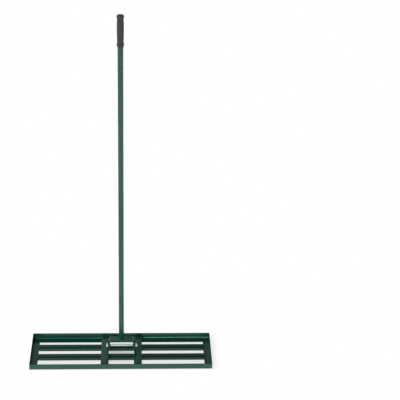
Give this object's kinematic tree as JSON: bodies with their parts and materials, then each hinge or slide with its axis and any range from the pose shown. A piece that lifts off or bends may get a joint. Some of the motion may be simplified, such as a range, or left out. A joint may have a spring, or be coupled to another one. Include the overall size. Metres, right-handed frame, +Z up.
{
  "type": "lawn leveling rake",
  "caption": "Long-handled lawn leveling rake: a low slotted steel frame with arched cross bars is dragged flat over soil by a straight two-piece handle that swings on a cross bolt.",
  "frame": {"origin": "on the ground under the middle of the slotted frame, which is also under the upright handle's axis", "axes": "+X along the frame's width, -Y to the front, +Z up along the upright handle"},
  "size_m": [0.9144, 0.254, 1.829],
  "materials": {
    "green_paint": "glossy powder coat",
    "zinc_plate": "bright zinc",
    "plain_steel": "turned",
    "grip_rubber": "matte moulded"
  },
  "bodies": {
    "head": {"front_rail": "green_paint", "rear_rail": "green_paint", "left_rail": "green_paint", "right_rail": "green_paint", "front_bar": "green_paint", "rear_bar": "green_paint", "left_strap": "green_paint", "right_strap": "green_paint", "left_lug": "green_paint", "right_lug": "green_paint", "pivot_bolt": "zinc_plate", "pivot_nut": "zinc_plate", "bolt_washers": "zinc_plate", "arm_spacers": "zinc_plate"},
    "handle": {"yoke": "green_paint", "lower_tube": "green_paint", "upper_tube": "green_paint", "joint_stud": "plain_steel", "joint_socket": "plain_steel", "grip": "grip_rubber"}
  },
  "joints": [
    {"name": "handle_pivot", "type": "hinge", "parent": "head", "child": "handle", "pos_m": [0, 0, 0.055], "axis": [-1, 0, 0], "range_deg": [-90, 90]}
  ]
}
